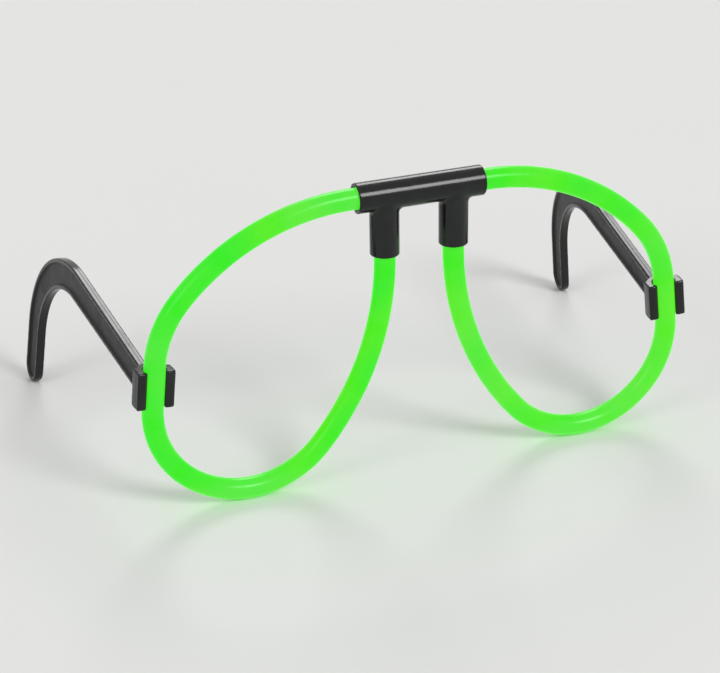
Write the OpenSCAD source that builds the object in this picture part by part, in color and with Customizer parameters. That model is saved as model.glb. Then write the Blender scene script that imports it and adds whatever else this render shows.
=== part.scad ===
// Party glasses. Two glow sticks are bent into lens loops, a moulded bridge holds their four
// ends, and a temple with an ear hook clips on the outer side of each loop.
// Millimetres. X runs across the face, Y back towards the ears and Z up. The origin lies on the
// surface that the glasses stand on, under the middle of their outline.

/* [Glow stick] */
// Length of one stick, end to end
stick_length = 200; // [190:1:210]
// Outside diameter of a stick
stick_d = 5; // [4.6:0.1:5.4]
// Wall of the plastic tube
stick_wall = 0.7; // [0.6:0.05:0.9]
// Thickness of the closed end of the tube
end_wall = 1.5; // [1:0.1:3]
// Chamfer round the closed end and round the stopper's head
end_chamfer = 0.6; // [0.3:0.1:1]
// Length of the stopper inside the tube
stopper_length = 4; // [3:0.5:6]
// Thickness of the stopper's head
stopper_head = 1.2; // [0.8:0.1:2]
// How far the stopper's head stands in from the outside of the tube
head_inset = 0.1; // [0:0.05:0.3]
// Air left between the stopper and the liquid
air_gap = 2; // [1:0.5:5]
// Gap that keeps the liquid and the stopper off the tube's bore
fill_clearance = 0.02; // [0.01:0.01:0.05]

/* [Broken glass vial] */
// Outside diameter of the vial
vial_d = 2.2; // [1.8:0.1:2.3]
// Wall of the vial
vial_wall = 0.3; // [0.2:0.05:0.4]
// Longest length of vial left between two breaks
vial_piece = 11; // [8:0.5:12]
// Distance from one piece of vial to the next, middle to middle
vial_pitch = 13; // [12.5:0.5:18]
// Shortest distance from a piece of vial to either end of the liquid
vial_margin = 0.5; // [0.5:0.5:3]

/* [Lens loop] */
// Angle that the stick turns through along the brow
brow_turn = 48; // [44:1:52]
// Angle that it turns through at the outer shoulder, above the temple clip
shoulder_turn = 36; // [32:1:38]
// Angle that it turns through beside the nose, just under the bridge
nose_turn = 41; // [38:1:45]
// Bend radius of the outer shoulder
shoulder_r = 26; // [23:0.5:29]
// Straight length of stick between a socket's mouth and the first bend
lead_straight = 1; // [0.5:0.5:2]
// Straight length of stick above and below the temple clip
grip_margin = 0.5; // [0.3:0.1:1]

/* [Bridge] */
// Length of the cross tube
bridge_length = 30.6; // [28:0.2:34]
// Outside diameter of the cross tube
bridge_d = 7; // [6.8:0.1:8]
// Distance between the two nose sleeves, middle to middle
sleeve_spacing = 16.8; // [15.6:0.2:18]
// Outside diameter of a nose sleeve
sleeve_d = 6.8; // [6.6:0.1:7.6]
// Depth of a nose sleeve's mouth below the middle of the cross tube
sleeve_drop = 14.3; // [14:0.1:17]
// Depth of each of the four sockets
socket_depth = 10.4; // [8:0.1:10.4]
// Gap round a stick in its socket
socket_clearance = 0.03; // [0.02:0.01:0.08]
// Chamfer at the mouth of each socket
mouth_chamfer = 0.4; // [0.2:0.1:0.5]
// Radius of the fillet where a nose sleeve leaves the cross tube
root_fillet = 1; // [0.6:0.1:1.4]

/* [Temple clip] */
// Height of the clip along the stick
clip_height = 9; // [7:0.5:11]
// Running gap between the clip's bore and the stick
clip_clearance = 0.06; // [0.03:0.01:0.09]
// Wall of the clip round the stick
clip_wall = 1.7; // [1.4:0.1:2.2]
// How much thicker each jaw is than the clip's round back
jaw_extra = 0.2; // [0.1:0.05:0.4]
// Width of the clip's mouth at its narrowest
mouth_width = 4.2; // [3.8:0.1:4.5]
// Length of the flared lips in front of the mouth
lip_length = 0.5; // [0.3:0.1:0.8]
// Chamfer along the jaws' outer edges
jaw_chamfer = 0.35; // [0.2:0.05:0.5]

/* [Temple arm] */
// Angle that each arm is swung outwards at rest
arm_splay = 6; // [0:1:12]
// Height of the arm's top edge above the middle of the clip
arm_top = 2; // [1.6:0.1:3]
// Height of the arm at the clip
arm_root_h = 6.6; // [6:0.1:8]
// Height of the arm at the hook
arm_hook_h = 7.6; // [7:0.1:9]
// Angle that the arm climbs towards the ear
arm_rise = 7.5; // [4:0.5:10]
// Length of the arm from the middle of the clip to the start of the hook
arm_straight = 50; // [44:1:56]
// Radius of the ear hook along its middle
hook_r = 26; // [20:0.5:29]
// Angle that the end of the hook leans away from the face
hook_lean = 6; // [0:1:10]
// Thickness of the arm across its rims
rim_t = 2.2; // [1.8:0.1:2.6]
// Width of the rim round the arm's edge
rim_w = 1.1; // [0.8:0.1:1.5]
// Thickness of the web between the rims
web_t = 1; // [0.8:0.1:1.4]

/* [Hidden] */
// Angle that a whole loop turns through, three quarters of a full turn
LOOP_TURN = 270;
// Sides of the tube's and the liquid's round sections, and the bend between two sections
TUBE_SIDES = 20;
LIQUID_SIDES = 12;
BEND_STEP = 5;
ROUND = 96;
// Overlap of the turned stretch under the clip with the bent stretches beside it
SPLICE = 0.3;
// Share by which a bent stretch is slimmer than the turned one, so that the two cross cleanly
SPLICE_SLIM = 0.996;
// How far a cut runs on past the face that it opens
OVERCUT = 1;
// How far the root of a nose sleeve stands out beyond the sleeve, front and back
ROOT_PROUD = 0.05;
// Share by which the pieces of vial differ in length, and the angle that spreads them
VIAL_SPREAD = 0.14;
VIAL_PHASE = 77;

BLACK = [0.09, 0.09, 0.1];
GLOW = [0.31, 0.94, 0.16];
STOPPER = [0.45, 0.85, 0.4];
LIQUID = [0.55, 1, 0.35];
GLASS = [0.8, 0.92, 0.9];

stick_r = stick_d / 2;
bore_r = stick_r - stick_wall;
// Radius of what fills the bore, inside the flats of its many-sided skin
fill_r = bore_r * SPLICE_SLIM * cos(180 / TUBE_SIDES) - fill_clearance;
bridge_half = bridge_length / 2;
sleeve_x = sleeve_spacing / 2;
socket_r = stick_r + socket_clearance;
grip_length = clip_height + 2 * grip_margin;

// A stick leaves the cross tube outwards and turns on down, in and up into its sleeve. Each
// angle here is how far it has turned by the end of a bend.
after_brow = brow_turn;
after_shoulder = brow_turn + shoulder_turn;
after_base = LOOP_TURN - nose_turn;
after_nose = LOOP_TURN;

// Way along a bend of radius 1 from one angle to another, and the direction at an angle
function bend(from, to) = [sin(to) - sin(from), cos(to) - cos(from)];
function heading(angle) = [cos(angle), -sin(angle)];
function arc_length(from, to) = (to - from) * PI / 180;

// The brow, base and nose radii follow from three conditions: the loop ends over its sleeve in
// x and in z, and the stick's length between its sockets is used up.
brow_bend = bend(0, after_brow);
shoulder_bend = bend(after_brow, after_shoulder);
base_bend = bend(after_shoulder, after_base);
nose_bend = bend(after_base, after_nose);
col_brow = [brow_bend.x, brow_bend.y, arc_length(0, after_brow)];
col_base = [base_bend.x, base_bend.y, arc_length(after_shoulder, after_base)];
col_nose = [nose_bend.x, nose_bend.y, arc_length(after_base, after_nose)];
grip_way = grip_length * heading(after_shoulder);
loop_target = [
    sleeve_x - bridge_half - lead_straight - shoulder_r * shoulder_bend.x - grip_way.x,
    -sleeve_drop - lead_straight - shoulder_r * shoulder_bend.y - grip_way.y,
    stick_length - 2 * socket_depth - 2 * lead_straight - grip_length
        - shoulder_r * arc_length(after_brow, after_shoulder)
];
function det(a, b, c) = a * cross(b, c);
whole_det = det(col_brow, col_base, col_nose);
brow_r = det(loop_target, col_base, col_nose) / whole_det;
base_r = det(col_brow, loop_target, col_nose) / whole_det;
nose_r = det(col_brow, col_base, loop_target) / whole_det;

// Corners of the right-hand loop in the lens plane, x outwards and z up from the bridge
brow_start = [bridge_half + lead_straight, 0];
shoulder_start = brow_start + brow_r * brow_bend;
grip_start = shoulder_start + shoulder_r * shoulder_bend;
grip_end = grip_start + grip_way;
nose_start = grip_end + base_r * base_bend;
grip_middle = (grip_start + grip_end) / 2;
grip_lean = 90 - after_shoulder;
loop_bottom = grip_end.y + base_r * bend(after_shoulder, 180).y;

// One bend as sections [x, z, angle turned], without its first section
function bend_sections(start, radius, from, to) =
    let (steps = ceil((to - from) / BEND_STEP))
    [for (i = [1:steps])
        let (angle = from + (to - from) * i / steps, p = start + radius * bend(from, angle))
        [p.x, p.y, angle]];

// Sections from the cross tube's socket to the clip, and from the clip to the nose sleeve.
// inset shortens the end that lies in a socket, and splice runs on under the clip.
function upper_sections(inset, splice) = concat(
    [[bridge_half - socket_depth + inset, 0, 0], [brow_start.x, 0, 0]],
    bend_sections(brow_start, brow_r, 0, after_brow),
    bend_sections(shoulder_start, shoulder_r, after_brow, after_shoulder),
    [let (p = grip_start + splice * heading(after_shoulder)) [p.x, p.y, after_shoulder]]
);
function lower_sections(inset, splice) = concat(
    [let (p = grip_end - splice * heading(after_shoulder)) [p.x, p.y, after_shoulder]],
    splice == 0 ? [] : [[grip_end.x, grip_end.y, after_shoulder]],
    bend_sections(grip_end, base_r, after_shoulder, after_base),
    bend_sections(nose_start, nose_r, after_base, after_nose),
    [[sleeve_x, -sleeve_drop + socket_depth - inset, after_nose]]
);

// One section as a ring of points in space
function ring(section, radius, sides) =
    [for (i = [0:sides - 1])
        let (a = 360 * i / sides, out = radius * cos(a))
        [section.x + out * sin(section.z), radius * sin(a), section.y + out * cos(section.z)]];
function rings(sections, radius, sides) =
    [for (s = sections) each ring(s, radius, sides)];

// Faces of one skin of count rings whose points begin at base. A bore's skin is turned inside
// out, so its faces are wound the other way.
function wind(face, back) = back ? [for (i = [len(face) - 1:-1:0]) face[i]] : face;
function skin_faces(base, count, sides, inside = false) =
    [for (r = [0:count - 2], i = [0:sides - 1])
        let (a = base + r * sides, b = a + sides, j = (i + 1) % sides)
        wind([a + i, a + j, b + j, b + i], inside)];
function cap_face(first, sides, at_end) =
    wind([for (i = [0:sides - 1]) first + i], !at_end);
// Flat ring between two circles of the same number of points
function rim_faces(outer, inner, sides, at_end) =
    [for (i = [0:sides - 1])
        let (j = (i + 1) % sides)
        wind([outer + i, outer + j, inner + j, inner + i], !at_end)];

// A solid rod along the sections
module swept_rod(sections, radius, sides) {
    n = len(sections);
    polyhedron(
        points = rings(sections, radius, sides),
        faces = concat(
            [cap_face(0, sides, false)],
            skin_faces(0, n, sides),
            [cap_face((n - 1) * sides, sides, true)]
        ),
        convexity = 6
    );
}

// A pipe along the sections, open at both ends
module swept_pipe(sections, outer, inner, sides) {
    n = len(sections);
    m = n * sides;
    polyhedron(
        points = concat(rings(sections, outer, sides), rings(sections, inner, sides)),
        faces = concat(
            skin_faces(0, n, sides),
            skin_faces(m, n, sides, inside = true),
            rim_faces(0, m, sides, false),
            rim_faces(m - sides, 2 * m - sides, sides, true)
        ),
        convexity = 6
    );
}

// A pipe along the sections whose far end is moulded shut and chamfered
module swept_closed_pipe(outer_sections, inner_sections, outer, inner, chamfer, sides) {
    n = len(outer_sections);
    m = n * sides;
    last = outer_sections[n - 1];
    tip = [last.x - chamfer * cos(last.z), last.y + chamfer * sin(last.z), last.z];
    body = [for (i = [0:n - 2]) outer_sections[i]];
    k = (n + 1) * sides;
    polyhedron(
        points = concat(
            rings(concat(body, [tip]), outer, sides),
            ring(last, outer - chamfer, sides),
            rings(inner_sections, inner, sides)
        ),
        faces = concat(
            skin_faces(0, n + 1, sides),
            [cap_face(m, sides, true)],
            skin_faces(k, n, sides, inside = true),
            rim_faces(0, k, sides, false),
            [cap_face(k + m - sides, sides, false)]
        ),
        convexity = 6
    );
}

// Lens plane, and the height of the bridge above the surface that the glasses stand on
lens_z = stick_r - loop_bottom;
clip_bore_r = stick_r + clip_clearance;
clip_r = clip_bore_r + clip_wall;
grip_z = lens_z + grip_middle.y;

// Middle line of the arm in its own plane, u back from the stick and v up along it
arm_start = [clip_bore_r + clip_wall / 2, arm_top - arm_root_h / 2];
rise_way = [cos(arm_rise), sin(arm_rise)];
hook_start = arm_start + (arm_straight - arm_start.x) * rise_way;
hook_centre = hook_start + hook_r * [sin(arm_rise), -cos(arm_rise)];
hook_turn = arm_rise + 90 - hook_lean;
function hook_point(turned) =
    hook_centre + hook_r * [sin(turned - arm_rise), cos(turned - arm_rise)];
hook_end = hook_point(hook_turn);
tail_way = [sin(hook_lean), -cos(hook_lean)];
// The tail is as long as it takes for its round tip to stand on the surface
tip_r = arm_hook_h / 2;
side_drop = rim_t / 2 * sin(grip_lean);
tip_v = (-grip_z + side_drop - hook_end.x * sin(arm_splay) * sin(grip_lean)) / cos(grip_lean);
tail_length = (hook_end.y - tip_r - tip_v) / cos(hook_lean);
arm_reach = (hook_end.x + tail_length * sin(hook_lean) + tip_r) * cos(arm_splay)
    + rim_t / 2 * sin(arm_splay);
lens_y = (bridge_d / 2 - arm_reach) / 2;

// Stations [u, v, direction, share of the way to the hook] along the arm
HOOK_STEPS = 24;
TIP_STEPS = 12;
function arm_stations(from) = concat(
    [let (p = arm_start + from * rise_way) [p.x, p.y, arm_rise, from / arm_straight]],
    [for (i = [0:HOOK_STEPS])
        let (turned = hook_turn * i / HOOK_STEPS, p = hook_point(turned))
        [p.x, p.y, arm_rise - turned, 1]],
    [let (p = hook_end + tail_length * tail_way) [p.x, p.y, hook_lean - 90, 1]]
);
function half_height(share) = (arm_root_h + (arm_hook_h - arm_root_h) * share) / 2;
function edge_point(station, offset) =
    [station.x - offset * sin(station.z), station.y + offset * cos(station.z)];
// Outline of the arm, drawn in from its edge by inset and starting from along it
function arm_outline(inset, from) =
    let (s = arm_stations(from), n = len(s), last = s[n - 1])
    concat(
        [for (p = s) edge_point(p, half_height(p[3]) - inset)],
        [for (i = [1:TIP_STEPS - 1])
            let (a = last.z + 90 - 180 * i / TIP_STEPS)
            [last.x + (tip_r - inset) * cos(a), last.y + (tip_r - inset) * sin(a)]],
        [for (i = [n - 1:-1:0]) edge_point(s[i], inset - half_height(s[i][3]))]
    );

// Places a right-hand piece that is drawn in the lens plane
module on_right() {
    translate([0, lens_y, lens_z]) children();
}
module on_left() {
    mirror([1, 0, 0]) on_right() children();
}

// Places a piece drawn round the stick's axis, up along it, at the middle of the grip
module at_grip() {
    translate([grip_middle.x, 0, grip_middle.y]) rotate([0, -grip_lean, 0]) children();
}

// A cylinder with a chamfer round its far end
module chamfered_rod(r, h, chamfer) {
    cylinder(r = r, h = h - chamfer, $fn = ROUND);
    translate([0, 0, h - chamfer]) cylinder(r1 = r, r2 = r - chamfer, h = chamfer, $fn = ROUND);
}

// Hollow of a socket, from its floor up to and through its mouth
module socket() {
    cylinder(r = socket_r, h = socket_depth + OVERCUT, $fn = ROUND);
    translate([0, 0, socket_depth - mouth_chamfer])
        cylinder(r1 = socket_r, r2 = socket_r + 2 * mouth_chamfer, h = 2 * mouth_chamfer,
            $fn = ROUND);
}

// Root of a nose sleeve, widened by a fillet and no thicker than the sleeve
module sleeve_root() {
    root_z = -bridge_d / 2 - root_fillet;
    wide_r = sleeve_d / 2 + root_fillet;
    intersection() {
        difference() {
            translate([0, 0, root_z])
                cylinder(r = wide_r, h = -root_z, $fn = ROUND);
            translate([0, 0, root_z])
                rotate_extrude($fn = ROUND)
                    translate([wide_r, 0]) circle(r = root_fillet, $fn = ROUND);
        }
        translate([-wide_r, -sleeve_d / 2 - ROOT_PROUD, root_z])
            cube([2 * wide_r, sleeve_d + 2 * ROOT_PROUD, -root_z]);
    }
}

module bridge() {
    sides = [-1, 1];
    color(BLACK)
        difference() {
            union() {
                for (side = sides) {
                    rotate([0, side * 90, 0]) chamfered_rod(bridge_d / 2, bridge_half, mouth_chamfer / 2);
                    translate([side * sleeve_x, 0, 0]) {
                        mirror([0, 0, 1]) chamfered_rod(sleeve_d / 2, sleeve_drop, mouth_chamfer / 2);
                        sleeve_root();
                    }
                }
            }
            for (side = sides) {
                translate([side * (bridge_half - socket_depth), 0, 0])
                    rotate([0, side * 90, 0]) socket();
                translate([side * sleeve_x, 0, socket_depth - sleeve_drop])
                    mirror([0, 0, 1]) socket();
            }
        }
}

// Plastic tube of the stick, turned true where the temple clip runs on it
module tube() {
    slim = stick_r * SPLICE_SLIM;
    slim_bore = bore_r * SPLICE_SLIM;
    color(GLOW) {
        swept_pipe(upper_sections(stopper_head, SPLICE), slim, slim_bore, TUBE_SIDES);
        at_grip()
            difference() {
                cylinder(r = stick_r, h = grip_length, center = true, $fn = ROUND);
                cylinder(r = bore_r, h = grip_length + OVERCUT, center = true, $fn = ROUND);
            }
        swept_closed_pipe(lower_sections(0, SPLICE), lower_sections(end_wall, SPLICE),
            slim, slim_bore, end_chamfer, TUBE_SIDES);
    }
}

// Stopper that seals the tube's open end, with a thin head over its rim
module stopper() {
    head_r = stick_r - head_inset;
    color(STOPPER)
        translate([bridge_half - socket_depth, 0, 0])
            rotate([0, 90, 0]) {
                cylinder(r1 = head_r - end_chamfer, r2 = head_r, h = end_chamfer, $fn = ROUND);
                translate([0, 0, end_chamfer])
                    cylinder(r = head_r, h = stopper_head - end_chamfer, $fn = ROUND);
                cylinder(r = fill_r, h = stopper_head + stopper_length, $fn = ROUND);
            }
}

// Liquid sections, clear of the stopper and of the closed end
liquid_sections = concat(
    upper_sections(stopper_head + stopper_length + air_gap, 0),
    lower_sections(end_wall + fill_clearance, 0)
);

// Point and angle at a distance along the sections
function chords(s) = [for (i = [1:len(s) - 1]) norm([s[i].x - s[i - 1].x, s[i].y - s[i - 1].y])];
liquid_chords = chords(liquid_sections);
function run_to(i) = i == 0 ? 0 : run_to(i - 1) + liquid_chords[i - 1];
liquid_runs = [for (i = [0:len(liquid_sections) - 1]) run_to(i)];
liquid_length = liquid_runs[len(liquid_runs) - 1];
function along(distance) =
    let (k = [for (i = [1:len(liquid_runs) - 1]) if (liquid_runs[i] >= distance) i][0],
        t = (distance - liquid_runs[k - 1]) / liquid_chords[k - 1],
        a = liquid_sections[k - 1], b = liquid_sections[k])
    [a.x + t * (b.x - a.x), a.y + t * (b.y - a.y)];

// The pieces differ in length, as broken glass does
function piece_length(i) = vial_piece * (1 - VIAL_SPREAD + VIAL_SPREAD * sin(VIAL_PHASE * i));
vial_count = floor((liquid_length - vial_piece - 2 * vial_margin) / vial_pitch) + 1;
vial_first = (liquid_length - (vial_count - 1) * vial_pitch) / 2;

// Straight pieces laid along the bend, each half way between its chord and the bend
module vial_pieces() {
    for (i = [0:vial_count - 1]) {
        middle = vial_first + i * vial_pitch;
        half = piece_length(i) / 2;
        a = along(middle - half);
        b = along(middle + half);
        centre = ((a + b) / 2 + along(middle)) / 2;
        translate([centre.x, 0, centre.y])
            rotate([0, 90 - atan2(b.y - a.y, b.x - a.x), 0])
                difference() {
                    cylinder(d = vial_d, h = 2 * half, center = true, $fn = ROUND);
                    cylinder(d = vial_d - 2 * vial_wall, h = 2 * half + OVERCUT, center = true,
                        $fn = ROUND);
                }
    }
}

module liquid() {
    color(LIQUID)
        difference() {
            swept_rod(liquid_sections, fill_r, LIQUID_SIDES);
            vial_pieces();
        }
}

module vial() {
    color(GLASS) vial_pieces();
}

// Plan of the clip: a round back, two thicker jaws and lips that flare in front of the mouth
module clip_plan() {
    half_mouth = mouth_width / 2;
    mouth_y = -sqrt(pow(clip_bore_r, 2) - pow(half_mouth, 2));
    front = mouth_y - lip_length;
    jaw_x = clip_r + jaw_extra;
    difference() {
        union() {
            circle(r = clip_r, $fn = ROUND);
            polygon([
                [-jaw_x + jaw_chamfer, front], [jaw_x - jaw_chamfer, front],
                [jaw_x, front + jaw_chamfer], [jaw_x, -front - jaw_chamfer],
                [jaw_x - jaw_chamfer, -front], [-jaw_x + jaw_chamfer, -front],
                [-jaw_x, -front - jaw_chamfer], [-jaw_x, front + jaw_chamfer]
            ]);
        }
        circle(r = clip_bore_r, $fn = ROUND);
        polygon([
            [-half_mouth, 0], [half_mouth, 0], [half_mouth, mouth_y],
            [half_mouth + lip_length + OVERCUT, front - OVERCUT],
            [-half_mouth - lip_length - OVERCUT, front - OVERCUT], [-half_mouth, mouth_y]
        ]);
        // The front of the circle, between and before the lips
        translate([-clip_r, front - clip_r]) square([2 * clip_r, clip_r]);
    }
}

// Temple: clip, straight arm and ear hook in one moulding, rimmed on both faces
module temple() {
    pocket_from = clip_wall + rim_w;
    color(BLACK)
        rotate([0, 0, -arm_splay]) {
            linear_extrude(height = clip_height, center = true) clip_plan();
            rotate([90, 0, 90]) {
                linear_extrude(height = web_t, center = true) polygon(arm_outline(0, 0));
                linear_extrude(height = rim_t, center = true)
                    difference() {
                        polygon(arm_outline(0, 0));
                        polygon(arm_outline(rim_w, pocket_from));
                    }
            }
        }
}

translate([0, lens_y, lens_z]) bridge();
on_right() tube();  // right_tube
on_right() stopper();  // right_stopper
on_right() liquid();  // right_liquid
on_right() vial();  // right_vial
on_left() tube();  // left_tube
on_left() stopper();  // left_stopper
on_left() liquid();  // left_liquid
on_left() vial();  // left_vial
on_right() at_grip() temple();  // right_temple
on_left() at_grip() temple();  // left_temple
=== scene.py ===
from math import ceil, cos, pi, radians, sin, sqrt

import bpy
import numpy as np
from bpy.props import FloatProperty, FloatVectorProperty, IntProperty, PointerProperty
from mathutils import Matrix, Quaternion, Vector


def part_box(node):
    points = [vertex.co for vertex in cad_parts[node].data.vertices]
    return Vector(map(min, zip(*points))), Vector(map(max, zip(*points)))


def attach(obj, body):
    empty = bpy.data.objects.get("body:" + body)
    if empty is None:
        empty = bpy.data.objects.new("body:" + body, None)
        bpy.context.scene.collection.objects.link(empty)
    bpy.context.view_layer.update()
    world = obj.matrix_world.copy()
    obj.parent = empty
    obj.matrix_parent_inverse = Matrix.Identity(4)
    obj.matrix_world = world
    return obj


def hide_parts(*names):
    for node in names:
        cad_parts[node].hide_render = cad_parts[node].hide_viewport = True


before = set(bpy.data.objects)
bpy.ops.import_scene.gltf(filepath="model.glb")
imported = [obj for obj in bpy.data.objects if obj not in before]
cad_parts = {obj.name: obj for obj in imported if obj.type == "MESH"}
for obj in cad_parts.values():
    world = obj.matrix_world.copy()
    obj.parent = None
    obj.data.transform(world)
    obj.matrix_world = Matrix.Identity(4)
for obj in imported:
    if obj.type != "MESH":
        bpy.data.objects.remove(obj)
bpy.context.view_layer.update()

bl_info = {
    "name": "Party glasses",
    "version": (1, 0, 0),
    "blender": (4, 5, 0),
    "location": "3D View > Sidebar > Party glasses",
    "description": "Glow stick loops, a moulded bridge and clip-on temples over a CAD frame",
    "category": "Object",
}

MM = 0.001
# The two hands of a mirrored piece, and the sign of x on each
SIDES = {"right": 1, "left": -1}
# How far a dressed piece's box may lie from the box of the CAD node that it stands for
PLAY = 0.25 * MM
# Angle that a stick turns down by, from its brow end to its nose end
WHOLE_TURN = 1.5 * pi
# Steps round a tube's moulded edge
EDGE_STEPS = 4
# How many times wider a tube is than the face in the middle of its flat end
CAP_RATIO = 3
# Free cells that are kept round a solid where its skin is looked for
FREE_CELLS = 2
# How often a point is moved towards the skin that it belongs on
SETTLING_STEPS = 5
# Width of the camera's sensor in millimetres
SENSOR_WIDTH = 36
# Each lamp's angle round the object from its front, its angle above the floor and the angle
# that its disc takes up in the sky, in degrees
LAMPS = {"key": (24, 38, 22), "fill": (-66, 31, 27), "back": (158, 38, 22)}


def length(name, description, size):
    """A size that a user may change, in metres."""
    return FloatProperty(name=name, description=description, default=size, min=0.0,
                         unit="LENGTH", subtype="DISTANCE", precision=5)


def angle(name, description, degrees):
    """An angle that a user may change."""
    return FloatProperty(name=name, description=description, default=radians(degrees),
                         unit="ROTATION", subtype="ANGLE")


def share(name, description, amount):
    """A share from 0 to 1."""
    return FloatProperty(name=name, description=description, default=amount, min=0.0, max=1.0,
                         subtype="FACTOR")


def colour(name, description, red, green, blue):
    """A linear colour."""
    return FloatVectorProperty(name=name, description=description, default=(red, green, blue),
                               min=0.0, max=1.0, size=3, subtype="COLOR")


def strength(name, description, amount):
    """The strength of a light."""
    return FloatProperty(name=name, description=description, default=amount, min=0.0)


class StickSizes(bpy.types.PropertyGroup):
    """Sizes of one glow stick and of the loop that it is bent into."""
    reach: length("Length", "Length of one stick, end to end", 200 * MM)
    width: length("Diameter", "Outside diameter of a stick", 5 * MM)
    wall: length("Wall", "Wall of the plastic tube", 0.7 * MM)
    end_wall: length("End wall", "Thickness of the closed end of the tube", 1.5 * MM)
    end_round: length("End rounding", "Rounding of the closed end", 0.6 * MM)
    lip_round: length("Lip rounding", "Rounding of the open end's rim", 0.1 * MM)
    stopper_head: length("Stopper head", "Thickness of the stopper's head", 1.2 * MM)
    brow_turn: angle("Brow turn", "Angle that the stick turns through along the brow", 48)
    shoulder_turn: angle("Shoulder turn", "Angle it turns through above the temple clip", 36)
    nose_turn: angle("Nose turn", "Angle it turns through beside the nose", 41)
    shoulder_radius: length("Shoulder radius", "Bend radius of the outer shoulder", 26 * MM)
    lead: length("Lead", "Straight length between a socket's mouth and a bend", 1 * MM)
    grip_margin: length("Grip margin", "Straight length above and below the clip", 0.5 * MM)
    spacing: length("Section spacing", "Distance between two sections of a bend", 1.2 * MM)
    around: IntProperty(name="Sides", description="Sides of the tube's round section",
                        default=48, min=12, max=96)
    vials: IntProperty(name="Vial pieces", description="Pieces that the inner vial is broken into",
                       default=14, min=1, max=30)


class BridgeSizes(bpy.types.PropertyGroup):
    """Sizes of the moulded bridge."""
    cross_length: length("Length", "Length of the cross tube", 30.6 * MM)
    cross_width: length("Diameter", "Outside diameter of the cross tube", 7 * MM)
    sleeve_spacing: length("Sleeve spacing", "Distance between the two nose sleeves", 16.8 * MM)
    sleeve_width: length("Sleeve diameter", "Outside diameter of a nose sleeve", 6.8 * MM)
    sleeve_drop: length("Sleeve drop", "Depth of a sleeve's mouth below the cross tube", 14.3 * MM)
    socket_depth: length("Socket depth", "Depth of each of the four sockets", 10.4 * MM)
    clearance: length("Clearance", "Gap round a stick in its socket", 0.03 * MM)
    mouth_chamfer: length("Mouth chamfer", "Chamfer at the mouth of each socket", 0.4 * MM)
    fillet: length("Fillet", "Fillet where a nose sleeve leaves the cross tube", 1 * MM)
    edge: length("Edge rounding", "Rounding of the moulded edges", 0.25 * MM)
    cell: length("Skin cell", "Size of the moulding's faces", 0.3 * MM)


class TempleSizes(bpy.types.PropertyGroup):
    """Sizes of one temple: its clip, its arm and its ear hook."""
    clip_height: length("Clip height", "Height of the clip along the stick", 9 * MM)
    clearance: length("Clearance", "Running gap between the clip and the stick", 0.06 * MM)
    clip_wall: length("Clip wall", "Wall of the clip round the stick", 1.7 * MM)
    jaw_extra: length("Jaw", "How much thicker each jaw is than the clip's back", 0.2 * MM)
    mouth: length("Mouth", "Width of the clip's mouth at its narrowest", 4.2 * MM)
    lip: length("Lip", "Length of the flared lips in front of the mouth", 0.5 * MM)
    splay: angle("Splay", "Angle that the arm is swung outwards at rest", 6)
    top: length("Top", "Height of the arm's top edge above the middle of the clip", 2 * MM)
    root_height: length("Root height", "Height of the arm at the clip", 6.6 * MM)
    hook_height: length("Hook height", "Height of the arm at the hook", 7.6 * MM)
    rise: angle("Rise", "Angle that the arm climbs towards the ear", 7.5)
    straight: length("Straight", "Length from the middle of the clip to the hook", 50 * MM)
    hook_radius: length("Hook radius", "Radius of the ear hook along its middle", 26 * MM)
    hook_lean: angle("Hook lean", "Angle that the end of the hook leans back", 6)
    rim: length("Rim thickness", "Thickness of the arm across its rims", 2.2 * MM)
    rim_width: length("Rim width", "Width of the rim round the arm's edge", 1.1 * MM)
    web: length("Web", "Thickness of the web between the rims", 1 * MM)
    edge: length("Edge rounding", "Rounding of the rims' and the jaws' edges", 0.35 * MM)
    fillet: length("Fillet", "Fillet where the arm leaves the clip", 0.7 * MM)
    cell: length("Skin cell", "Size of the moulding's faces", 0.36 * MM)


class Finishes(bpy.types.PropertyGroup):
    """Colours, gloss and fine features of the object."""
    glow: colour("Glow", "Colour that a lit tube gives off", 0.052, 0.76, 0.004)
    warm_glow: colour("Warm glow", "Glow where the liquid is yellower", 0.090, 0.75, 0.003)
    cool_glow: colour("Cool glow", "Glow where the liquid is bluer", 0.022, 0.73, 0.009)
    # The pale glow also paints the reflection at the bottom of each loop
    pale_glow: colour("Pale glow", "Glow where it shines on glass and bubbles", 0.125, 0.71, 0.075)
    tube_plastic: colour("Tube plastic", "Colour of the tube's own plastic", 0.012, 0.13, 0.006)
    black: colour("Black plastic", "Colour of the bridge and the temples", 0.0045, 0.005, 0.0055)
    # Paler black on handled patches and on edges; on the edges it is partly wear and partly a
    # painted highlight on the rims
    scuffed_and_sheen: colour("Scuffed plastic", "Black plastic where it is worn", 0.020, 0.021, 0.022)
    stopper: colour("Stopper", "Colour of the stoppers", 0.17, 0.68, 0.13)
    liquid: colour("Liquid", "Colour of the liquid inside", 0.26, 0.95, 0.10)
    glass: colour("Vial glass", "Tint of the broken vial", 0.60, 0.83, 0.79)
    tube_gloss: share("Tube roughness", "Roughness of the tube", 0.26)
    black_gloss: share("Black roughness", "Roughness of the black plastic", 0.17)
    pocket_gloss: share("Pocket roughness", "Added roughness of the arms' dull pockets", 0.28)
    drift: length("Drift", "Size of the slow changes in the glow's hue", 24 * MM)
    haze: length("Haze", "Size of the paler stretches of the glow", 38 * MM)
    bubbles: length("Bubbles", "Size of the cells that hold one bubble each", 2.6 * MM)
    # Height and fringe of the painted reflection, which makes the glow paler at the bottom of each
    # loop
    painted_reflection: length("Froth", "Height that the froth reaches above the floor", 11 * MM)
    painted_reflection_fringe: length("Froth fringe", "Height over which the froth thins out", 6 * MM)
    rubbed: length("Rubbed patches", "Size of the rubbed patches on a tube", 9 * MM)
    handled: length("Handled patches", "Size of the dull patches on the black plastic", 7 * MM)
    mould_line: length("Mould line", "Width of the line where two mould halves met", 0.18 * MM)


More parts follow.
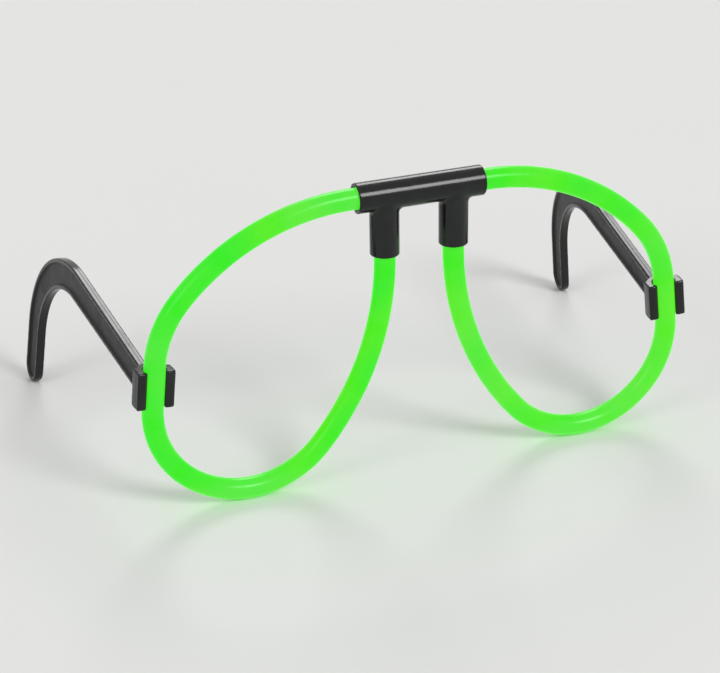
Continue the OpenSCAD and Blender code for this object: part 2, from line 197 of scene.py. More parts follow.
class Studio(bpy.types.PropertyGroup):
    """The floor, the lamps and the camera."""
    floor: colour("Floor", "Colour of the floor", 0.76, 0.76, 0.75)
    backdrop: colour("Backdrop", "What shows past the floor", 0.75, 0.75, 0.74)
    reach: length("Floor reach", "Distance from the object to the floor's edge", 6.0)
    sky: strength("Sky", "Strength of the light from all round", 0.54)
    key: strength("Key lamp", "Watts on a square metre from the main lamp", 1.36)
    fill: strength("Fill lamp", "Watts on a square metre from the lamp on the other side", 0.42)
    back: strength("Back lamp", "Watts on a square metre from the lamp behind", 0.75)
    azimuth: angle("Azimuth", "Camera's angle round the object from its front", -20.22)
    elevation: angle("Elevation", "Camera's angle above the floor", 25.2)
    roll: angle("Roll", "Camera's turn about its own axis", -0.973)
    aside: length("Aside", "How far the camera stands to the left of the bridge", 164.3 * MM)
    before: length("Before", "How far it stands in front of the bridge", 406.2 * MM)
    above: length("Above", "How far it stands above the bridge", 169.8 * MM)
    focal: FloatProperty(name="Focal length", description="Focal length in millimetres",
                         default=104.465, min=1.0, subtype="DISTANCE_CAMERA")


class PartyGlasses(bpy.types.PropertyGroup):
    """Everything that a user may change."""
    stick: PointerProperty(type=StickSizes)
    bridge: PointerProperty(type=BridgeSizes)
    temple: PointerProperty(type=TempleSizes)
    finish: PointerProperty(type=Finishes)
    studio: PointerProperty(type=Studio)


def bend(first, last):
    """Way along a bend of radius 1 that turns down from one angle to another, as x and z."""
    return np.array([sin(last) - sin(first), cos(last) - cos(first)])


def heading(turned):
    """Direction of the stick, as x and z, when it has turned down by an angle."""
    return np.array([cos(turned), -sin(turned)])


def towards(azimuth, elevation):
    """Direction of something that stands at an angle round the object from its front, and at
    an angle above the floor."""
    level = cos(elevation)
    return Vector((sin(azimuth) * level, -cos(azimuth) * level, sin(elevation)))


def lens_place(sizes):
    """Middle of the bridge, which is the origin of the lens plane."""
    low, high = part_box("bridge")
    return Vector((0, (low.y + high.y) / 2, high.z - sizes.bridge.cross_width / 2))


def lens_loop(sizes):
    """The right-hand loop in the lens plane: its stations [x, z, angle turned], the middle of
    the straight that the clip holds, and how far the stick leans in there."""
    stick, bridge = sizes.stick, sizes.bridge
    half, depth, lead = bridge.cross_length / 2, bridge.socket_depth, stick.lead
    grip = sizes.temple.clip_height + 2 * stick.grip_margin
    # The angles that each bend starts and ends at. The straight for the clip lies between the
    # shoulder and the base.
    gripped = stick.brow_turn + stick.shoulder_turn
    nose_start = WHOLE_TURN - stick.nose_turn
    bends = {"brow": (0, stick.brow_turn), "shoulder": (stick.brow_turn, gripped),
             "base": (gripped, nose_start), "nose": (nose_start, WHOLE_TURN)}
    ways = {name: bend(first, last) for name, (first, last) in bends.items()}
    turns = {name: last - first for name, (first, last) in bends.items()}
    grip_way = grip * heading(gripped)
    fixed = stick.shoulder_radius * ways["shoulder"] + grip_way
    fixed_length = 2 * depth + 2 * lead + grip + stick.shoulder_radius * turns["shoulder"]
    # The brow, base and nose radii close the loop in x and in z and use up the stick's length
    solved = ("brow", "base", "nose")
    target = [bridge.sleeve_spacing / 2 - half - lead - fixed[0],
              -bridge.sleeve_drop - lead - fixed[1], stick.reach - fixed_length]
    free = np.array([[*ways[name], turns[name]] for name in solved]).T
    radii = dict(zip(solved, np.linalg.solve(free, target)), shoulder=stick.shoulder_radius)

    point = np.array([half + lead, 0.0])
    stations = [[half - depth + stick.stopper_head, 0, 0], [*point, 0]]
    for name, (first, last) in bends.items():
        radius = radii[name]
        steps = ceil(radius * turns[name] / stick.spacing)
        for turned in np.linspace(first, last, steps + 1)[1:]:
            stations.append([*(point + radius * bend(first, turned)), turned])
        point = point + radius * ways[name]
        if name == "shoulder":
            middle = point + grip_way / 2
            point = point + grip_way
            stations.append([*point, gripped])
    stations.append([bridge.sleeve_spacing / 2, depth - bridge.sleeve_drop, WHOLE_TURN])
    return np.array(stations), middle, pi / 2 - gripped


def rounded_or(first, second, radius):
    """Distance to two solids joined, with a fillet between them."""
    both = np.hypot(np.maximum(radius - first, 0), np.maximum(radius - second, 0))
    return np.maximum(radius, np.minimum(first, second)) - both


def rounded_and(first, second, radius):
    """Distance to what two solids share, with its edges rounded."""
    both = np.hypot(np.maximum(radius + first, 0), np.maximum(radius + second, 0))
    return np.minimum(-radius, np.maximum(first, second)) + both


def slope(solid, points, step=0.002 * MM):
    """Direction, per point, in which the distance to a solid grows, and how fast it does."""
    ways = step * np.eye(3)
    grown = [solid(points + way) - solid(points - way) for way in ways]
    return np.stack(grown, axis=-1) / (2 * step)


def skin(solid, low, high, cell):
    """Points and four-sided faces of the skin of a solid, which is given as a function of
    distance. One point is made in each cell that the skin crosses, then settled on it."""
    free = FREE_CELLS * cell
    axes = [np.arange(start - free, end + free, cell) for start, end in zip(low, high)]
    grid = np.stack(np.meshgrid(*axes, indexing="ij"), axis=-1)
    depth = solid(grid)
    shape = np.array(depth.shape)
    total = np.zeros((depth.size, 3))
    count = np.zeros(depth.size)
    quads = []
    for axis in range(3):
        here = np.moveaxis(depth, axis, 0)
        crossed = (here[:-1] < 0) != (here[1:] < 0)
        found = np.argwhere(np.moveaxis(crossed, 0, axis))
        step = np.eye(3, dtype=int)[axis]
        before, after = depth[tuple(found.T)], depth[tuple((found + step).T)]
        points = grid[tuple(found.T)] + np.outer(cell * before / (before - after), step)
        across, along = np.eye(3, dtype=int)[[(axis + 1) % 3, (axis + 2) % 3]]
        corners = []
        for back in (0 * across, across, across + along, along):
            flat = np.ravel_multi_index(tuple((found - back).T), shape)
            for i in range(3):
                total[:, i] += np.bincount(flat, points[:, i], depth.size)
            count += np.bincount(flat, minlength=depth.size)
            corners.append(flat)
        faces = np.stack(corners, axis=1)
        inwards = before >= 0
        faces[inwards] = faces[inwards][:, ::-1]
        quads.append(faces)
    used = count > 0
    number = np.cumsum(used) - 1
    points = total[used] / count[used, None]
    for _ in range(SETTLING_STEPS):
        grown = slope(solid, points)
        points -= grown * (solid(points) / (grown ** 2).sum(-1))[:, None]
    return points, number[np.concatenate(quads)]


def moulding_marks(solid, points, normals, across, edge):
    """What the black plastic reads at each point: how far it lies from the parting plane, and
    how much of an edge it is. Just under an edge a solid is shallower than under a flat."""
    reach = 2 * edge
    under = solid(points - reach * normals)
    # The edge mark lightens the black plastic: partly wear, partly a painted highlight on the rims
    return {"across": across, "worn": np.clip(1 + under / reach, 0, 1)}


def bridge_solid(sizes):
    """Distance to the bridge, round its own middle."""
    size = sizes.bridge
    half, bore = size.cross_length / 2, sizes.stick.width / 2 + size.clearance

    def socket(round_it, to_mouth):
        """Hollow of a socket, with its chamfered mouth."""
        cone = (round_it - bore - size.mouth_chamfer - to_mouth) / sqrt(2)
        return np.maximum(np.minimum(round_it - bore, cone), -to_mouth - size.socket_depth)

    def solid(points):
        """Distance to the whole bridge."""
        x, y, z = np.abs(points[..., 0]), points[..., 1], points[..., 2]
        round_cross = np.hypot(y, z)
        round_sleeve = np.hypot(x - size.sleeve_spacing / 2, y)
        cross = rounded_and(round_cross - size.cross_width / 2, x - half, size.edge)
        sleeve = rounded_and(round_sleeve - size.sleeve_width / 2,
                             np.maximum(-size.sleeve_drop - z, z), size.edge)
        # The fillet dies out in front and behind, where the sleeve runs into the cross tube
        level = y ** 2 / np.maximum(round_cross * round_sleeve, MM ** 2)
        body = rounded_or(cross, sleeve, size.fillet * (1 - np.minimum(level, 1) ** 2))
        hollow = np.minimum(socket(round_cross, x - half),
                            socket(round_sleeve, -size.sleeve_drop - z))
        return np.maximum(body, -hollow)

    return solid


def temple_solid(sizes, grip_z, lean):
    """Distance to the right-hand temple, round the middle of its clip: x across the arm, y
    back along it and z up along the stick. The tail's length is what it takes for its round
    tip to stand on the floor. Also gives the distance to the pockets beside the arm's web."""
    size = sizes.temple
    bore = sizes.stick.width / 2 + size.clearance
    outside = bore + size.clip_wall
    half_mouth = size.mouth / 2
    mouth_y = -sqrt(bore ** 2 - half_mouth ** 2)
    front = mouth_y - size.lip
    # The arm's middle line climbs straight to the hook, bends round, and runs straight down
    root = np.array([bore + size.clip_wall / 2, size.top - size.root_height / 2])
    rise = np.array([cos(size.rise), sin(size.rise)])
    hook_start = root + (size.straight - root[0]) * rise
    centre = hook_start + size.hook_radius * np.array([rise[1], -rise[0]])
    tail_way = np.array([sin(size.hook_lean), -cos(size.hook_lean)])
    hook_end = centre + size.hook_radius * np.array([cos(size.hook_lean), sin(size.hook_lean)])
    tip = size.hook_height / 2
    outwards = hook_end[0] * sin(size.splay)
    # Height of the floor under the tail, measured along the leaning stick from the clip
    stand = (size.rim / 2 * sin(lean) - grip_z - outwards * sin(lean)) / cos(lean)
    tail = (hook_end[1] - tip - stand) / cos(size.hook_lean)

    def off_line(points, start, way, reach, half_start, half_end):
        """Distance to a band that runs straight, with round ends."""
        along = np.clip((points - start) @ way, 0, reach)
        gap = points - start - along[..., None] * way
        half = half_start + (half_end - half_start) * along / reach
        return np.hypot(gap[..., 0], gap[..., 1]) - half

    def off_hook(points):
        """Distance to the bent part of the hook."""
        turned = np.arctan2(points[..., 0] - centre[0], points[..., 1] - centre[1])
        turned = np.clip(turned, -size.rise, pi / 2 - size.hook_lean)
        way = np.stack([np.sin(turned), np.cos(turned)], axis=-1)
        gap = points - centre - size.hook_radius * way
        return np.hypot(gap[..., 0], gap[..., 1]) - tip

    def arm(y, z):
        """Distance to the arm's outline, and the way back along it from its root."""
        points = np.stack([y, z], axis=-1)
        straight = off_line(points, root, rise, size.straight - root[0], size.root_height / 2, tip)
        tail_end = off_line(points, hook_end, tail_way, tail, tip, tip)
        edge = np.minimum(straight, np.minimum(off_hook(points), tail_end))
        return np.maximum(edge, root[0] - y), (points - root) @ rise

    def clip(x, y):
        """Distance to the plan of the clip: a ring that runs into two square jaws, less the
        bore and the mouth, which flares between the lips."""
        past_x = np.abs(x) - outside - size.jaw_extra + size.edge
        past_y = np.abs(y) + front + size.edge
        jaws = np.hypot(np.maximum(past_x, 0), np.maximum(past_y, 0)) - size.edge
        jaws = jaws + np.minimum(np.maximum(past_x, past_y), 0)
        body = rounded_or(np.hypot(x, y) - outside, jaws, size.edge)
        body = rounded_and(body, front - y, size.edge)
        flare = (np.abs(x) - half_mouth + y - mouth_y) / sqrt(2)
        mouth = np.maximum(np.minimum(np.abs(x) - half_mouth, flare), y)
        return rounded_and(body, -np.minimum(np.hypot(x, y) - bore, mouth), size.edge / 2)

    def pocket(points):
        """Distance to the pockets on both sides of the arm's web."""
        edge, along = arm(points[..., 1], points[..., 2])
        inside = np.maximum(edge + size.rim_width, size.clip_wall + size.rim_width - along)
        return rounded_and(inside, size.web / 2 - np.abs(points[..., 0]), size.edge)

    def solid(points):
        """Distance to the whole temple."""
        x, y, z = points[..., 0], points[..., 1], points[..., 2]
        plate = rounded_and(arm(y, z)[0], np.abs(x) - size.rim / 2, size.edge)
        plate = rounded_and(plate, -pocket(points), size.edge)
        grip = rounded_and(clip(x, y), np.abs(z) - size.clip_height / 2, size.edge)
        return rounded_or(plate, grip, size.fillet)

    reach = hook_end[0] + tail * sin(size.hook_lean) + tip
    low = [-outside - size.jaw_extra, front, hook_end[1] - tail - tip]
    high = [outside + size.jaw_extra, reach, centre[1] + size.hook_radius + tip]
    return solid, pocket, low, high


def mesh_piece(name, points, faces, material, hand="right", marks=None, wrap=None):
    """A shaded object from points and faces. The left-hand one is the mirror image. Marks are
    numbers kept at the points, and wrap is a place on the unrolled skin for each corner."""
    points = np.array(points, float)
    if hand == "left":
        points = points * [-1, 1, 1]
        faces = [face[::-1] for face in faces]
        wrap = None if wrap is None else [face[::-1] for face in wrap]
    mesh = bpy.data.meshes.new(name)
    mesh.from_pydata(points.tolist(), [], faces)
    for mark, numbers in (marks or {}).items():
        mesh.attributes.new(mark, "FLOAT", "POINT").data.foreach_set("value", numbers.ravel())
    if wrap is not None:
        layer = mesh.uv_layers.new(name="wrap")
        layer.data.foreach_set("uv", np.concatenate(wrap).ravel())
    mesh.shade_smooth()
    mesh.materials.append(material)
    piece = bpy.data.objects.new(name, mesh)
    bpy.context.scene.collection.objects.link(piece)
    return piece


def stand_for(piece, node, body):
    """Puts a dressed piece in the place of its CAD node, and checks that it fits there."""
    spots = np.array([v.co for v in piece.data.vertices])
    for found, wanted in zip((spots.min(0), spots.max(0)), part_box(node)):
        if np.abs(found - wanted).max() > PLAY:
            raise ValueError(f"{piece.name} reaches {found} where {node} reaches {wanted[:]}")
    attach(piece, body)
    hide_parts(node)


class Value:
    """An output socket in a node tree. Its maths is written as Python expressions."""

    def __init__(self, nodes, socket):
        self.nodes = nodes
        self.socket = socket

    def calculate(self, operation, first, second):
        """Adds one Math node."""
        return self.nodes.add("Math", {"operation": operation}, {0: first, 1: second})

    def __add__(self, other):
        return self.calculate("ADD", self, other)

    def __radd__(self, other):
        return self.calculate("ADD", other, self)

    def __sub__(self, other):
        return self.calculate("SUBTRACT", self, other)

    def __rsub__(self, other):
        return self.calculate("SUBTRACT", other, self)

    def __mul__(self, other):
        return self.calculate("MULTIPLY", self, other)

    def __rmul__(self, other):
        return self.calculate("MULTIPLY", other, self)

    def __mod__(self, other):
        return self.calculate("FLOORED_MODULO", self, other)

    def __abs__(self):
        return self.calculate("ABSOLUTE", self, 0.0)

    def greater(self, other):
        """The greater of two values."""
        return self.calculate("MAXIMUM", self, other)


class Nodes:
    """A node tree that is being made."""

    def __init__(self, tree):
        self.tree = tree

    def add(self, kind, settings=None, sockets=None, out=0):
        """Adds a node: its type, its settings, then the values or links of its sockets."""
        node = self.tree.nodes.new("ShaderNode" + kind)
        for name, setting in (settings or {}).items():
            setattr(node, name, setting)
        for name, value in (sockets or {}).items():
            self.join(value, node.inputs[name])
        return Value(self, node.outputs[out]) if node.outputs else None

    def join(self, value, socket):
        """Links a value to a socket, or sets a plain number or colour on it."""
        if isinstance(value, Value):
            self.tree.links.new(value.socket, socket)
        else:
            socket.default_value = value


class Finish(Nodes):
    """A material that is being made, with a Principled shader at its end."""

    def __init__(self, name, constants):
        self.material = bpy.data.materials.new(name)
        self.material.use_nodes = True
        super().__init__(self.material.node_tree)
        self.shader = self.tree.nodes["Principled BSDF"]
        self.end(constants)

    def end(self, values):
        """Feeds the shader's sockets, and gives the material."""
        for socket, value in values.items():
            self.join(value, self.shader.inputs[socket])
        return self.material

    def place(self):
        """Where a point lies on the object."""
        return self.add("TexCoord", out="Object")

    def mark(self, name):
        """A number that the piece keeps at its points."""
        return self.add("Attribute", {"attribute_name": name}, out="Fac")

    def noise(self, size, detail=2.0, roughness=0.5, distortion=0.0):
        """Cloudy noise from 0 to 1, whose features are about one size across."""
        return self.add("TexNoise", {"noise_dimensions": "3D"}, {
            "Vector": self.place(), "Scale": 1 / size, "Detail": detail,
            "Roughness": roughness, "Distortion": distortion})

    def cells(self, size, feature):
        """Distance to the nearest cell's middle or edge, in cells of about one size."""
        return self.add("TexVoronoi", {"feature": feature},
                        {"Vector": self.place(), "Scale": 1 / size})

    def step(self, value, low, high, first, last):
        """A smooth step from first, at low, to last, at high."""
        return self.add("MapRange", {"interpolation_type": "SMOOTHSTEP"}, {
            "Value": value, "From Min": low, "From Max": high, "To Min": first, "To Max": last})

    def rising(self, value, low, high):
        """A smooth step from 0, at low, to 1, at high."""
        return self.step(value, low, high, 0.0, 1.0)

    def falling(self, value, low, high):
        """A smooth step from 1, at low, to 0, at high."""
        return self.step(value, low, high, 1.0, 0.0)

    def mix(self, factor, first, second):
        """A mix of two colours. A Mix node has more than one socket of each name, so the
        sockets of its colours are given by number."""
        first, second = (c if isinstance(c, Value) else (*c, 1.0) for c in (first, second))
        return self.add("Mix", {"data_type": "RGBA"}, {0: factor, 6: first, 7: second}, out=2)

    def bump(self, height, distance):
        """A Bump node, whose height runs from 0 to 1."""
        return self.add("Bump", None, {"Height": height, "Distance": distance})


def darker(shade, amount):
    """A colour with a share of its light."""
    return [amount * part for part in shade]


def glowing_tube(sizes):
    """Soft plastic lit from inside. The glow drifts a little along the stick. It is paler where
    a piece of the vial lies and at a few small bubbles, and paler at the bottom of the loop as a
    painted reflection. The skin has fine rubbed patches."""
    look = sizes.finish
    finish = Finish("glowing_tube", {"Emission Strength": 1.0, "IOR": 1.49,
                                     "Specular IOR Level": 0.22})
    wrap = finish.add("UVMap", {"uv_map": "wrap"})
    along = finish.add("SeparateXYZ", None, {"Vector": wrap}, out="X")
    height = finish.add("SeparateXYZ", None, {"Vector": finish.place()}, out="Z")
    drift = finish.noise(look.drift, detail=1.0)
    haze = finish.noise(look.haze, detail=1.0)
    cloud = finish.noise(5 * MM, detail=3.0)
    # 0 in the middle of each piece of the vial, and 0.5 at its ends
    to_middle = abs((along * sizes.stick.vials) % 1.0 - 0.5)
    glass = finish.falling(to_middle + 0.06 * cloud, 0.36, 0.47)
    bubble = finish.falling(finish.cells(look.bubbles, "F1"), 0.05, 0.16)
    rubbed = finish.rising(finish.noise(look.rubbed, detail=5.0, roughness=0.65), 0.50, 0.72)
    hue = finish.mix(finish.rising(drift, 0.38, 0.62), look.cool_glow, look.warm_glow)
    glow = finish.mix(0.5 * finish.rising(cloud, 0.30, 0.75), hue, look.glow)
    # Painted reflection: the glow turns paler near the floor, at the bottom of each loop
    painted_reflection = finish.falling(height + look.painted_reflection_fringe * haze,
                           look.painted_reflection - look.painted_reflection_fringe, look.painted_reflection)
    pale = 0.10 * glass + 0.22 * bubble + 0.40 * finish.rising(haze, 0.52, 0.70)
    shade = finish.mix(cloud, look.tube_plastic, darker(look.tube_plastic, 0.6))
    return finish.end({
        "Base Color": shade,
        "Emission Color": finish.mix(pale.greater(0.6 * painted_reflection), glow, look.pale_glow),
        "Roughness": look.tube_gloss - 0.05 + 0.06 * cloud + 0.20 * rubbed,
        "Normal": finish.bump(finish.noise(0.9 * MM, detail=3.0), distance=0.012 * MM),
    })


def black_plastic(sizes):
    """Glossy moulded plastic, greyer and duller on its edges, partly from wear and partly as a
    painted highlight on the rims, and where it is handled; dull in the arms' pockets, with the
    fine line where the two halves of the mould met."""
    look = sizes.finish
    finish = Finish("black_plastic", {"IOR": 1.5, "Specular IOR Level": 0.36})
    handled = finish.rising(finish.noise(look.handled, detail=4.0, roughness=0.6), 0.50, 0.72)
    flow = finish.noise(3 * MM, detail=2.0, distortion=0.6)
    grain = finish.noise(0.35 * MM, detail=3.0, roughness=0.6)
    # Paler edges: partly wear, partly a painted highlight on the rims
    worn = finish.mark("worn") * finish.rising(flow, 0.30, 0.62)
    half_line, blur = look.mould_line / 2, 0.05 * MM
    line = finish.falling(abs(finish.mark("across")), half_line - blur, half_line + blur)
    scuffs_and_sheen = 0.30 * handled + 0.55 * worn
    dull = look.pocket_gloss * finish.mark("pocket")
    return finish.end({
        "Base Color": finish.mix(scuffs_and_sheen, look.black, look.scuffed_and_sheen),
        "Roughness": look.black_gloss - 0.02 + dull + 0.12 * handled + 0.10 * worn + 0.03 * grain,
        "Normal": finish.bump(0.5 * flow + 0.04 * grain + 0.4 * line, distance=0.06 * MM),
    })


def stopper_plastic(sizes):
    """Dull green plastic of the plugs, with a painted glow: the plastic gives off light of its own
    colour, though it is no lamp.
    """
    look = sizes.finish
    # The plugs give off light: a painted glow
    finish = Finish("stopper_plastic", {"Emission Strength": 0.35})
    cloud = finish.noise(1.2 * MM, detail=3.0)
    shade = finish.mix(cloud, look.stopper, darker(look.stopper, 0.7))
    return finish.end({
        "Base Color": shade,
        "Emission Color": shade,
        "Roughness": 0.4 + 0.15 * cloud,
        "Normal": finish.bump(finish.noise(0.3 * MM), distance=0.02 * MM),
    })


def glowing_liquid(sizes):
    """The liquid that gives off the light, with swirls where the two parts have mixed."""
    look = sizes.finish
    finish = Finish("glowing_liquid", {"Emission Strength": 1.0, "IOR": 1.36, "Roughness": 0.08})
    swirl = finish.noise(4 * MM, detail=3.0, distortion=1.5)
    bright = finish.rising(swirl, 0.3, 0.7)
    return finish.end({
        "Base Color": finish.mix(swirl, look.tube_plastic, look.liquid),
        "Emission Color": finish.mix(bright, look.liquid, darker(look.liquid, 0.75)),
    })


def vial_glass(sizes):
    """Thin glass of the broken vial, crazed near the breaks."""
    look = sizes.finish
    finish = Finish("vial_glass", {"Transmission Weight": 0.9, "IOR": 1.5})
    craze = finish.falling(finish.cells(1.5 * MM, "DISTANCE_TO_EDGE"), 0.0, 0.05)
    return finish.end({
        "Base Color": finish.mix(0.5 * craze, look.glass, (0.95, 1.0, 0.97)),
        "Roughness": 0.04 + 0.3 * craze,
        "Normal": finish.bump(1 - craze, distance=0.02 * MM),
    })


class PARTYGLASSES_OT_sticks(bpy.types.Operator):
    """Make the two glowing tubes, bent into lens loops"""
    bl_idname = "partyglasses.sticks"
    bl_label = "Glow sticks"

    def execute(self, context):
        sizes = context.scene.party_glasses
        stick = sizes.stick
        rings, whole = self.rings(stick, lens_loop(sizes)[0])
        around = np.linspace(0, 2 * pi, stick.around, endpoint=False)
        points = []
        for (x, z, turned, _), radius in rings:
            out = radius * np.cos(around)
            points.append(np.column_stack([x + out * sin(turned), radius * np.sin(around),
                                           z + out * cos(turned)]))
        points = np.concatenate(points) + lens_place(sizes)
        faces, wrap = self.faces(stick.around, [place[3] / whole for place, _ in rings])
        material = glowing_tube(sizes)
        for hand in SIDES:
            piece = mesh_piece(f"{hand}_stick", points, faces, material, hand, wrap=wrap)
            stand_for(piece, f"{hand}_tube", "frame")
        return {"FINISHED"}

    def rings(self, stick, stations):
        """Rings of the tube's skin, each a place [x, z, angle turned, way along] and a radius:
        round the closed end, back along the outside, in at the open end and down the bore."""
        outer, inner = stick.width / 2, stick.width / 2 - stick.wall
        end, lip = stick.end_round, stick.lip_round
        steps = np.hypot(*np.diff(stations[:, :2], axis=0).T)
        runs = np.concatenate([[0], np.cumsum(steps)])
        whole = runs[-1]
        floor = whole - stick.end_wall

        def at(run):
            """The place that lies a way along the stick from its open end."""
            return [np.interp(run, runs, stations[:, i]) for i in range(3)] + [run]

        def edge(run, size, inwards, turns):
            """Rings of a rounded edge, from the flat end to the side or back."""
            return [(at(run + inwards * size * (1 - cos(t))), outer - size * (1 - sin(t)))
                    for t in turns]

        quarter = np.linspace(0, pi / 2, EDGE_STEPS + 1)
        rings = [(at(whole), outer / CAP_RATIO)]
        rings += edge(whole, end, -1, quarter)
        rings += [(at(run), outer) for run in runs[::-1] if lip < run < whole - end]
        rings += edge(0, lip, 1, quarter[::-1])
        rings += [(at(0), inner + lip), (at(lip), inner)]
        rings += [(at(run), inner) for run in runs if lip < run < floor - lip]
        rings += [(at(floor - lip), inner), (at(floor), inner - lip)]
        rings += [(at(floor), inner / CAP_RATIO)]
        return rings, whole

    def faces(self, sides, shares):
        """Faces between the rings and at both ends of the skin, and for each corner its place
        on the unrolled skin: how far along the stick and how far round it, from 0 to 1."""
        ring = np.arange(sides)
        after = (ring + 1) % sides
        turn = ring / sides
        last = (len(shares) - 1) * sides
        faces = [ring[::-1].tolist(), (last + ring).tolist()]
        wrap = [np.column_stack([np.full(sides, shares[0]), turn[::-1]]),
                np.column_stack([np.full(sides, shares[-1]), turn])]
        for i in range(len(shares) - 1):
            here, there = i * sides, (i + 1) * sides
            faces += np.column_stack([here + ring, here + after,
                                      there + after, there + ring]).tolist()
            along = np.repeat(shares[i:i + 2], 2)
            for start in turn:
                end = start + turn[1]
                wrap.append(np.column_stack([along, [start, end, end, start]]))
        return faces, wrap


class PARTYGLASSES_OT_bridge(bpy.types.Operator):
    """Make the moulded bridge: the cross tube and its two nose sleeves"""
    bl_idname = "partyglasses.bridge"
    bl_label = "Bridge"

    def execute(self, context):
        sizes = context.scene.party_glasses
        size = sizes.bridge
        half = size.cross_length / 2
        solid = bridge_solid(sizes)
        points, faces = skin(solid, [-half, -size.cross_width / 2, -size.sleeve_drop],
                             [half, size.cross_width / 2, size.cross_width / 2], size.cell)
        normals = slope(solid, points)
        marks = moulding_marks(solid, points, normals, points[:, 1], size.edge)
        piece = mesh_piece("moulded_bridge", points + lens_place(sizes), faces.tolist(),
                           black_plastic(sizes), marks=marks)
        piece.data.normals_split_custom_set_from_vertices(normals.tolist())
        stand_for(piece, "bridge", "frame")
        return {"FINISHED"}


class PARTYGLASSES_OT_temples(bpy.types.Operator):
    """Make the two temples, with their clips and ear hooks"""
    bl_idname = "partyglasses.temples"
    bl_label = "Temples"

    def execute(self, context):
        sizes = context.scene.party_glasses
        size = sizes.temple
        place = lens_place(sizes)
        middle, lean = lens_loop(sizes)[1:]
        solid, pocket, low, high = temple_solid(sizes, place.z + middle[1], lean)
        points, faces = skin(solid, low, high, size.cell)
        normals = slope(solid, points)
        marks = moulding_marks(solid, points, normals, points[:, 0], size.edge)
        marks["pocket"] = np.clip(1 - pocket(points) / (size.edge / 2), 0, 1)
        turn = Matrix.Rotation(-lean, 3, "Y") @ Matrix.Rotation(-size.splay, 3, "Z")
        turn = np.array(turn).T
        points = points @ turn + place + [middle[0], 0, middle[1]]
        material = black_plastic(sizes)
        for hand, sign in SIDES.items():
            piece = mesh_piece(f"{hand}_arm", points, faces.tolist(), material, hand, marks)
            outwards = normals @ turn * [sign, 1, 1]
            piece.data.normals_split_custom_set_from_vertices(outwards.tolist())
            stand_for(piece, f"{hand}_temple", f"{hand}_temple")
        return {"FINISHED"}


class PARTYGLASSES_OT_fillings(bpy.types.Operator):
    """Give the stoppers, the liquid and the broken vials their materials"""
    bl_idname = "partyglasses.fillings"
    bl_label = "Stoppers, liquid and vials"

    def execute(self, context):
        sizes = context.scene.party_glasses
        recipes = {"stopper": stopper_plastic, "liquid": glowing_liquid, "vial": vial_glass}
        for kind, recipe in recipes.items():
            material = recipe(sizes)
            for hand in SIDES:
                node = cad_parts[f"{hand}_{kind}"]
                node.data.materials.clear()
                node.data.materials.append(material)
        return {"FINISHED"}


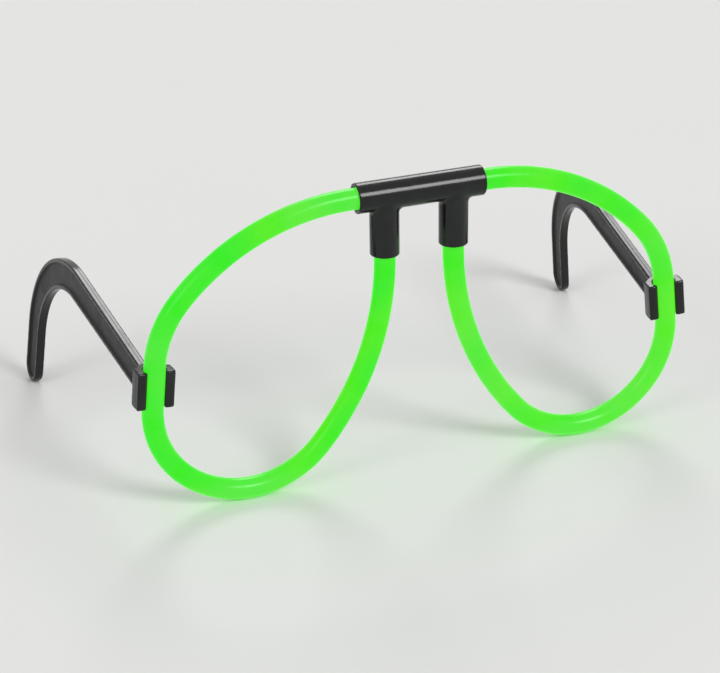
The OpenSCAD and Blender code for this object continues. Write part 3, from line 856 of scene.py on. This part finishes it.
class PARTYGLASSES_OT_stage(bpy.types.Operator):
    """Make the floor, the lamps, the backdrop and the camera"""
    bl_idname = "partyglasses.stage"
    bl_label = "Stage"

    def execute(self, context):
        sizes = context.scene.party_glasses
        studio = sizes.studio
        context.scene.view_settings.view_transform = "Standard"
        self.floor(studio)
        self.world(studio, context.scene)
        for name, angles in LAMPS.items():
            self.lamp(context.scene, name, getattr(studio, name), *map(radians, angles))
        self.camera(studio, context.scene, lens_place(sizes))
        return {"FINISHED"}

    def floor(self, studio):
        """A plain pale floor."""
        finish = Finish("floor", {"IOR": 1.45, "Specular IOR Level": 0.1})
        cloud = finish.noise(90 * MM, detail=3.0)
        reach = studio.reach
        corners = [[-reach, -reach, 0], [reach, -reach, 0], [reach, reach, 0], [-reach, reach, 0]]
        material = finish.end({
            "Base Color": finish.mix(cloud, studio.floor, darker(studio.floor, 0.985)),
            "Roughness": 0.85 + 0.1 * cloud,
        })
        mesh_piece("floor", corners, [[0, 1, 2, 3]], material)

    def world(self, studio, scene):
        """Soft light from all round. The camera, gloss and glass see the backdrop's colour."""
        scene.world = bpy.data.worlds.new("studio")
        scene.world.use_nodes = True
        nodes = Nodes(scene.world.node_tree)
        nodes.tree.nodes.clear()
        camera, glossy, glass = (nodes.add("LightPath", out=f"Is {ray} Ray")
                                 for ray in ("Camera", "Glossy", "Transmission"))
        sky = nodes.add("Background", None, {"Color": (1, 1, 1, 1), "Strength": studio.sky})
        seen = nodes.add("Background", None, {"Color": (*studio.backdrop, 1)})
        seen_or_sky = nodes.add("MixShader", None, {
            0: camera.greater(glossy).greater(glass), 1: sky, 2: seen})
        nodes.add("OutputWorld", None, {"Surface": seen_or_sky})

    def lamp(self, scene, name, watts, azimuth, elevation, disc):
        """A soft lamp so far away that it lights the whole floor evenly."""
        data = bpy.data.lights.new(f"{name}_lamp", "SUN")
        data.energy = watts
        data.angle = disc
        lamp = bpy.data.objects.new(data.name, data)
        lamp.location = towards(azimuth, elevation)
        lamp.rotation_mode = "QUATERNION"
        lamp.rotation_quaternion = lamp.location.to_track_quat("Z", "Y")
        scene.collection.objects.link(lamp)

    def camera(self, studio, scene, bridge):
        """The camera at the photograph's viewing angle."""
        data = bpy.data.cameras.new("camera")
        data.lens = studio.focal
        data.sensor_width = SENSOR_WIDTH
        camera = bpy.data.objects.new("camera", data)
        camera.location = bridge + Vector((-studio.aside, -studio.before, studio.above))
        camera.rotation_mode = "QUATERNION"
        upright = towards(studio.azimuth, studio.elevation).to_track_quat("Z", "Y")
        camera.rotation_quaternion = upright @ Quaternion((0, 0, 1), studio.roll)
        scene.collection.objects.link(camera)
        scene.camera = camera


class PARTYGLASSES_PT_panel(bpy.types.Panel):
    """The pieces of the glasses, in the sidebar"""
    bl_idname = "PARTYGLASSES_PT_panel"
    bl_label = "Party glasses"
    bl_space_type = "VIEW_3D"
    bl_region_type = "UI"
    bl_category = "Party glasses"

    def draw(self, context):
        sizes = context.scene.party_glasses
        for group, operator in PANEL_ROWS.items():
            box = self.layout.box()
            for name in getattr(sizes, group).bl_rna.properties.keys():
                if name not in ("rna_type", "name"):
                    box.prop(getattr(sizes, group), name)
            box.operator(operator.bl_idname)


PANEL_ROWS = {
    "stick": PARTYGLASSES_OT_sticks,
    "bridge": PARTYGLASSES_OT_bridge,
    "temple": PARTYGLASSES_OT_temples,
    "finish": PARTYGLASSES_OT_fillings,
    "studio": PARTYGLASSES_OT_stage,
}

CLASSES = (
    StickSizes, BridgeSizes, TempleSizes, Finishes, Studio, PartyGlasses,
    PARTYGLASSES_OT_sticks, PARTYGLASSES_OT_bridge, PARTYGLASSES_OT_temples,
    PARTYGLASSES_OT_fillings, PARTYGLASSES_OT_stage, PARTYGLASSES_PT_panel,
)


def register():
    """Makes the classes and the sizes known to Blender."""
    for made in CLASSES:
        bpy.utils.register_class(made)
    bpy.types.Scene.party_glasses = PointerProperty(type=PartyGlasses)


def unregister():
    """Takes them away again."""
    del bpy.types.Scene.party_glasses
    for made in reversed(CLASSES):
        bpy.utils.unregister_class(made)


def main():
    """Makes every piece."""
    register()
    bpy.ops.partyglasses.sticks()
    bpy.ops.partyglasses.bridge()
    bpy.ops.partyglasses.temples()
    bpy.ops.partyglasses.fillings()
    bpy.ops.partyglasses.stage()


if __name__ == "__main__":
    main()
